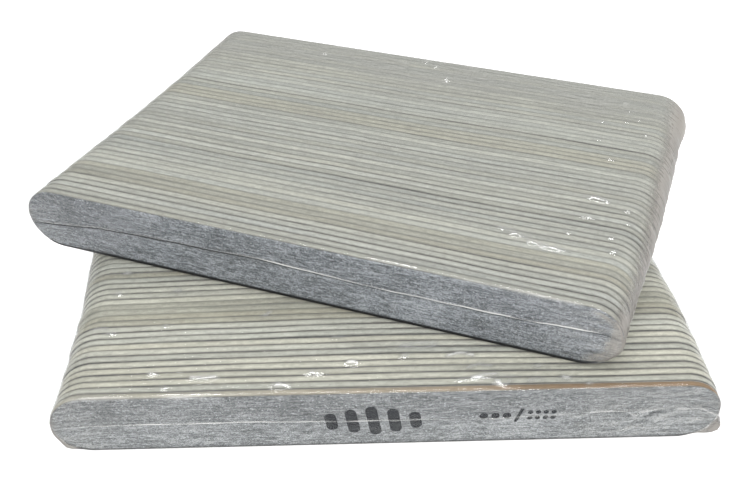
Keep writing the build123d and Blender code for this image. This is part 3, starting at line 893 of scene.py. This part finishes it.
        # loose ears of film at the sealed corners
        gather = 0.0
        ears = {"lower": [(1, 124, 17, -0.2, 3.0, 3.8), (-1, 144, 17, 0.0, 3.0, 1.9), (-1, 112, 16, 0.0, 3.0, 0.45)],
                "upper": [(1, 72, 22, 108.0, 8.0, 1.1), (1, 105, 18, 0.0, 3.0, 0.5)]}[pack]
        for sgn, at, wide, ey, ew, eh in ears:
            q = np.exp(-(((arc - at) / wide) ** 2 + ((py - ey) / ew) ** 2)) * (NX * sgn > 0)
            d = d + eh * q
            gather = gather + q * min(1.0, eh)
        gather = np.clip(gather, 0, 1)
        crease = crease * (1 - 0.8 * gather)
        base_fade = 1.0 - 0.88 * smooth(-0.72, -0.96, NZ)  # lies flat underneath
        # painted shadow: a dark line along the bottom fold at the front, where the pack sits on what is under it
        crease = crease - {"lower": 1.3, "upper": 3.0}[pack] * smooth(-0.80, -0.98, NZ) * smooth(0.65, 0.25, yy - y_front)
        d = np.clip(d, 0.0, None) * base_fade * (1 if inset < fold * 0.9 else 0.55)
        P.append(np.stack([px + NX * d, py, pz + NZ * d], 1))
        if pack == "upper":
            back = smooth(30, 75, py)
            haze = 0.05 + 0.05 * near_end + np.where(NX > 0, 1.0 * smooth(34 - 16 * back, 72 - 14 * back, arc), 0.22 * smooth(30, 90, arc)) * (tip > 0)
            # partly painted sheen: the film's milkiness rises towards the back of the top
            haze = haze + (0.07 * smooth(18, 60, py) + 0.10 * smooth(70, 90, py) + 0.26 * smooth(92, 104, py)) * (0.4 + 0.6 * top)
            haze = haze + 0.10 * smooth(80, 118, py) * near_end
        else:
            haze = 0.03 + 0.04 * near_end + 0.30 * smooth(35, 95, arc) * (tip > 0)
        haze = haze * (1.0 + 0.35 * noise2(px / 22.0, py / 11.0, seed + 9)) + 0.85 * gather
        INFO.append(np.stack([haze, crease, np.clip(endw, 0, 1)], 1))
        PLACE.append(np.stack([yy, arc * side * (1 - 0.50 * gather), np.clip(shine, 0, 1)], 1))
    v = np.concatenate(P)
    info = np.concatenate(INFO)
    place = np.concatenate(PLACE)
    coat = np.zeros((len(v), 3))
    faces = tube_faces(len(ys), m)
    zs = SEAM[pack] * HEIGHT - zc                          # seam height from mid-height
    lx, lz = SEAM_LINE[pack]

    def face_grid(ring, front):
        """Fine grid over the front or back face, between the ring's top and bottom."""
        nonlocal v, info, place, coat
        base = ring * m
        ringv = v[base:base + m]
        half_h = R - fold
        near = [0.5 * (1 - (zs + e) / half_h) for e in (-1.2, -0.8, -0.55, -0.38, -0.24, -0.1, 0.04, 0.18, 0.34, 0.55, 0.85)]
        shares = list(near)
        many = 44 if front else 32
        for k in range(1, many):
            if all(abs(k / many - q) > 0.012 for q in near) and not near[-1] < k / many < near[0]:
                shares.append(k / many)
        shares = sorted(shares)
        rows = len(shares) + 1
        top = ringv[:half]
        bottom = ringv[np.r_[0, m - 1:half - 1:-1, half - 1]]
        out, inf, pla, coa = [], [], [], []
        for s_ in shares:
            g = (top * (1 - s_) + bottom * s_)[1:-1].copy()
            x = g[:, 0]
            span = top[1:-1, 2] - bottom[1:-1, 2]
            line = np.interp(x, lx, lz) - zc + 0.20 * noise2(x / 9.0, 0.3, seed + 26) + 0.10 * noise2(x / 3.4, 1.3, seed + 27)
            line = np.clip(line, (bottom[1:-1, 2] - zc) * 0.8, (top[1:-1, 2] - zc) * 0.8)
            if front:                                      # rows gather along the seam line
                g[:, 2] += (line - zs) * np.exp(-((g[:, 2] - zc - zs) / 4.5) ** 2) * smooth(6, 18, span)
            z = g[:, 2] - zc
            edge = smooth(0, 0.05, s_) * smooth(0, 0.05, 1 - s_) * smooth(0.0, 2.5, span)
            d = 0.035 * (1 + noise2(x / 12.0, z / 0.95, seed + 20)) + 0.018 * noise2(x / 4.0, z / 0.8, seed + 21)
            haze = 0.010 + 0.010 * noise2(x / 16.0, z / 2.5, seed + 22)
            # faint painted highlights along small wrinkles
            crease = 0.10 * np.clip(ridged(x / 11.0, z / 1.1, seed + 23), 0, 1) ** 4
            zone = 0.0
            # film bridging the corners beyond the file's round end
            ax = np.abs(x - sweep(pack, 0.0 if front else DEPTH)) - (LENGTH - WIDTH) / 2
            beyond = smooth(0.96, 1.08, np.hypot(np.clip(ax, 0, None), z) / (WIDTH / 2)) * (ax > 0)
            shine = 0.25 * crease
            turn_in = smooth(14.5, 5.0, span)              # gathered over the rounded ends
            haze = haze + 0.13 * turn_in + 0.85 * beyond
            cover = 0.0
            if front and pack == "upper":                  # the end's gathers reach over the front file's right tip
                tip_x = x - sweep(pack, 0.0) - (LENGTH - WIDTH) / 2
                inside = WIDTH / 2 - np.hypot(np.clip(tip_x, 0, None), z)
                reach = 1.9 + 1.6 * smooth(5.0, -1.0, z) + 0.5 * noise2(z / 2.1, x / 5.0, seed + 33)
                cover = smooth(reach + 0.7, reach - 0.7, inside) * smooth(0.0, 4.0, tip_x)
                cover = cover * (0.86 + 0.14 * noise2(x / 1.5, z / 1.1, seed + 34))
                haze = haze + 0.80 * cover
            if front:
                # drag lines towards the right end, running up to the right
                zone = {"lower": 0.62 * smooth(44, 62, x) + 0.45 * smooth(-66, -84, x),
                        "upper": 0.6 * smooth(62, 86, x) + 0.4 * smooth(-66, -84, x)}[pack]
                zone = zone * (1 - beyond) * (1 - cover)
                w = x * 0.17 - z * 0.40 + 0.7 * noise2(x / 8.0, z / 4.0, seed + 24)
                u = x * 0.9 + z * 0.4
                drag = np.clip(ridged(u / 12.0, w / 0.95, seed + 25), 0, 1)
                d = d + zone * 0.22 * drag ** 2
                shine = shine + zone * 0.10 * drag ** 4
                haze = haze + zone * 0.03
                # painted highlight along the crests and painted shade along the hollows
                for wide, strong, line_at in DRAWN[pack]:
                    near_by = np.full(len(x), 99.0)
                    for (xa, za), (xb, zb) in zip(line_at, line_at[1:]):
                        t = np.clip(((x - xa) * (xb - xa) + (z + zc - za) * (zb - za)) / ((xb - xa) ** 2 + (zb - za) ** 2), 0, 1)
                        near_by = np.minimum(near_by, np.hypot(x - xa - t * (xb - xa), z + zc - za - t * (zb - za)))
                    part = np.clip(0.75 + 0.55 * noise2(x / 3.6, z / 2.0 + strong * 9, seed + 29), 0.15, 1.2)
                    q = np.exp(-(near_by / wide) ** 2) * part
                    crease = crease + (1.15 if strong > 0 else 1.4) * strong * q
                    d = d + max(strong, 0.0) * 0.34 * q
                # overlapped weld: a sharp lip with the film's double layer below it, a painted highlight on the lip and
                # a painted shade line just under it
                q = np.exp(-((z - line) / 0.22) ** 2)
                keep = smooth(4.0, 9.0, span)
                d = d + 0.30 * q * keep * (1 - {"lower": 0.85, "upper": 0.0}[pack] * smooth(38, 48, x))
                light = 0.60 + 0.40 * noise2(x / 7.0, 4.4, seed + 28)
                light = light * {"lower": (1 - 0.8 * smooth(40, 52, x)) * (1 - 0.35 * smooth(-30, -15, x)) * (1 - 0.75 * smooth(-62, -82, x)),
                                 "upper": (0.40 + 0.60 * smooth(-35, 0, x)) * smooth(85, 78, x)}[pack]
                on = np.exp(-((z - line - 0.05) / 0.17) ** 2) * light * keep
                dark = {"lower": 0.42, "upper": 1.1 + 1.6 * smooth(0, -30, x)}[pack]
                under = np.exp(-((z - line + {"lower": 0.36, "upper": 0.52}[pack]) / 0.23) ** 2) * keep
                crease = (crease + 1.8 * on - dark * under) * (1 - 0.85 * cover)
                shine = shine + 0.9 * on
                haze = haze + {"lower": 0.015, "upper": 0.01}[pack] * smooth(0.1, -0.3, z - line) * keep
            if front and pack == "upper":                  # shadowed fold where the pack lies on the other one
                crease = crease - 3.2 * smooth(0.958, 0.985, s_) * smooth(-76, -64, x) * smooth(86, 76, x)
            d = np.clip(d, 0, None) * edge
            g[:, 1] += -d if front else d
            out.append(g)
            inf.append(np.stack([haze * np.ones(len(x)), crease, np.maximum(np.maximum(0.8 * turn_in, beyond), 0.80 * cover)], 1))
            coa.append(np.stack([zone * np.ones(len(x)), np.zeros(len(x)), np.zeros(len(x))], 1))
            pla.append(np.stack([np.full(len(x), 0.5 * PITCH), 20.0 + 60.0 * beyond + 28.0 * cover, np.clip(shine, 0, 1) * np.ones(len(x))], 1))
        n0 = len(v)
        cols = half - 2
        v = np.concatenate([v] + out)
        info = np.concatenate([info] + inf)
        place = np.concatenate([place] + pla)
        coat = np.concatenate([coat] + coa)

        def at(r, c):
            if c == 0:
                return base
            if c == half - 1:
                return base + half - 1
            if r == 0:
                return base + c
            if r == rows:
                return base + m - c
            return n0 + (r - 1) * cols + (c - 1)

        g = []
        for c in range(half - 1):
            for r in range(rows):
                q = [at(r, c), at(r, c + 1), at(r + 1, c + 1), at(r + 1, c)]
                q = [q[k] for k in range(4) if q[k] != q[k - 1]]
                if len(set(q)) >= 3:
                    g.append(tuple(q) if front else tuple(reversed(q)))
        return g

    faces += face_grid(0, True)
    faces += face_grid(len(ys) - 1, False)
    b = Build()
    b.add(v, faces, place, info, coat)
    outer_count = len(faces)
    # inner wall, smooth and a little smaller, facing inwards
    st = stations(6.0, [0, 15, 30, 45, 60, 75, 90])
    X, Z, NX, NZ = ring_outline(st, LENGTH / 2 + 0.02, R - FILM)
    mi = len(X)
    rows = []
    depths = np.linspace(y_front + FILM, y_back - FILM, 60)
    for y in depths:
        x = X + sweep(pack, y)
        grow = np.where(np.abs(NX) > 1e-6, np.maximum(hug(pack, np.full(mi, y), np.sign(NX)) - 0.08, 0.0), 0.0)
        px = x + NX * grow
        inset = 0.45 if y in (depths[0], depths[-1]) else 0.0
        px, pz = px - NX * inset, zc + Z - NZ * inset
        rows.append(np.stack([px, y + bow(pack, px, np.full(mi, y)), pz], 1))
    inner_faces = [tuple(reversed(q)) for q in tube_faces(len(depths), mi)]
    k = len(depths)
    inner_faces += [tuple(reversed(range(mi))), tuple(range((k - 1) * mi, k * mi))]
    b.add(np.concatenate(rows), inner_faces, (0.0, 0.0, 0.0), (0.0, 0.0, 0.0))
    o = b.object(f"{pack}_film_wrap", pack, FILM_MAT)
    o.data.materials.append(FILM_IN)
    idx = np.zeros(len(o.data.polygons), int)
    idx[outer_count:] = 1
    o.data.polygons.foreach_set("material_index", idx)
    return finish(o, pack, f"{pack}_shrink_film")


# ------------------------------------------------------------------ printed marks (plain shapes, no lettering)
def rounded_bar(cx, cz, w, h, lean=0.0, n=10):
    """Outline of an upright round-ended bar in the front face's plane."""
    pts = []
    r = w / 2
    for k in range(n + 1):
        a = math.pi * k / n
        pts.append((r * math.cos(a), h / 2 - r + r * math.sin(a)))
    for k in range(n + 1):
        a = math.pi + math.pi * k / n
        pts.append((r * math.cos(a), -h / 2 + r + r * math.sin(a)))
    c, s = math.cos(lean), math.sin(lean)
    return [(cx + c * px - s * pz, cz + s * px + c * pz) for px, pz in pts]


def disc(cx, cz, r, n=20):
    return [(cx + r * math.cos(2 * math.pi * k / n), cz + r * math.sin(2 * math.pi * k / n)) for k in range(n)]


def make_print(pack, name, outlines):
    b = Build()
    for pts in outlines:
        m = len(pts)
        front = np.array([(x, -0.045, z) for x, z in pts])
        back = np.array([(x, -0.005, z) for x, z in pts])
        v = np.concatenate([front, back])
        f = [tuple(range(m)), tuple(reversed(range(m, 2 * m)))]
        f += [(i, i + m, (i + 1) % m + m, (i + 1) % m) for i in range(m)]
        f[0], f[1] = tuple(range(m)), tuple(reversed(range(m, 2 * m)))
        b.add(v, f, (1, 1, 1), (0, 0, 0))
    o = b.object(name, pack, INK, flat=True)
    return finish(o, pack, None)


for pack in ("lower", "upper"):
    make_files(pack)
    make_film(pack)

bars = [(-15.4, 6.6), (-9.8, 9.4), (-4.2, 11.4), (1.4, 9.4), (7.0, 6.6)]
make_print("lower", "lower_printed_fan", [rounded_bar(x, 9.7, 3.1, h, 0.16) for x, h in bars])
dots = [disc(25.2 + 3.1 * k, 10.6, 1.15) for k in range(3)] + [rounded_bar(34.6, 10.6, 0.9, 5.6, -0.3)]
dots += [disc(37.6 + 2.1 * k, 11.7, 0.72) for k in range(4)] + [disc(37.6 + 2.1 * k, 9.5, 0.72) for k in range(4)]
make_print("lower", "lower_printed_grit_dots", dots)

# ------------------------------------------------------------------ stage, light, camera
me = bpy.data.meshes.new("floor")
me.from_pydata([(-4, -4, 0), (4, -4, 0), (4, 4, 0), (-4, 4, 0)], [], [(0, 1, 2, 3)])
floor = bpy.data.objects.new("floor", me)
bpy.context.scene.collection.objects.link(floor)
floor.location.z = -0.0002
fm, nt, out = node_material("floor_white")
p = nt.nodes.new("ShaderNodeBsdfPrincipled")
p.inputs["Base Color"].default_value = (0.93, 0.93, 0.93, 1)
p.inputs["Roughness"].default_value = 0.9
p.inputs["Specular IOR Level"].default_value = 0.1
p.inputs["Emission Color"].default_value = (1, 1, 1, 1)
p.inputs["Emission Strength"].default_value = 0.36      # a light table under the pale floor
nt.links.new(p.outputs[0], out.inputs["Surface"])
me.materials.append(fm)

world = bpy.data.worlds.new("studio")
world.use_nodes = True
bpy.context.scene.world = world
bg = world.node_tree.nodes.get("Background") or world.node_tree.nodes.new("ShaderNodeBackground")
bg.inputs["Color"].default_value = (1.0, 1.0, 1.0, 1)
bg.inputs["Strength"].default_value = 0.46
wo = world.node_tree.nodes.get("World Output") or world.node_tree.nodes.new("ShaderNodeOutputWorld")
world.node_tree.links.new(bg.outputs[0], wo.inputs[0])


def area(name, where, target, wide, deep, power, color=(1, 1, 1)):
    l = bpy.data.lights.new(name, "AREA")
    l.shape, l.size, l.size_y, l.energy, l.color = "RECTANGLE", wide, deep, power, color
    o = bpy.data.objects.new(name, l)
    bpy.context.scene.collection.objects.link(o)
    o.location = where
    o.rotation_euler = (Vector(target) - Vector(where)).to_track_quat("-Z", "Y").to_euler()
    return o


area("softbox", (0.0, -0.35, 1.4), (0, 0, 0.0), 1.6, 1.6, 11.0)
area("tube_lamp", (0.10, 0.50, 0.95), (0.0, 0.0, 0.02), 0.9, 0.05, 2.4)
area("front_lamp", (0.22, -1.00, 0.82), (0.0, 0.0, 0.02), 0.5, 0.25, 10.5)

cam = bpy.data.cameras.new("camera")
cam.sensor_width, cam.sensor_fit = 36.0, "HORIZONTAL"
cam.lens = 884.677 * 36.0 / 750.0
cam.dof.use_dof = False
cam.clip_start, cam.clip_end = 0.005, 50
co = bpy.data.objects.new("camera", cam)
bpy.context.scene.collection.objects.link(co)
right = Vector((0.9993651, -0.0350663, 0.0062998))
up = Vector((0.0171628, 0.6287885, 0.7773869))
fwd = Vector((0.0312213, 0.7767852, -0.6289911))
co.matrix_world = Matrix((
    (right.x, up.x, -fwd.x, -0.0110304),
    (right.y, up.y, -fwd.y, -0.2396880),
    (right.z, up.z, -fwd.z, 0.1938251),
    (0, 0, 0, 1)))
bpy.context.scene.camera = co
bpy.context.scene.view_settings.view_transform = "Standard"
bpy.context.scene.view_settings.look = "None"
bpy.context.scene.view_settings.exposure = 0.0
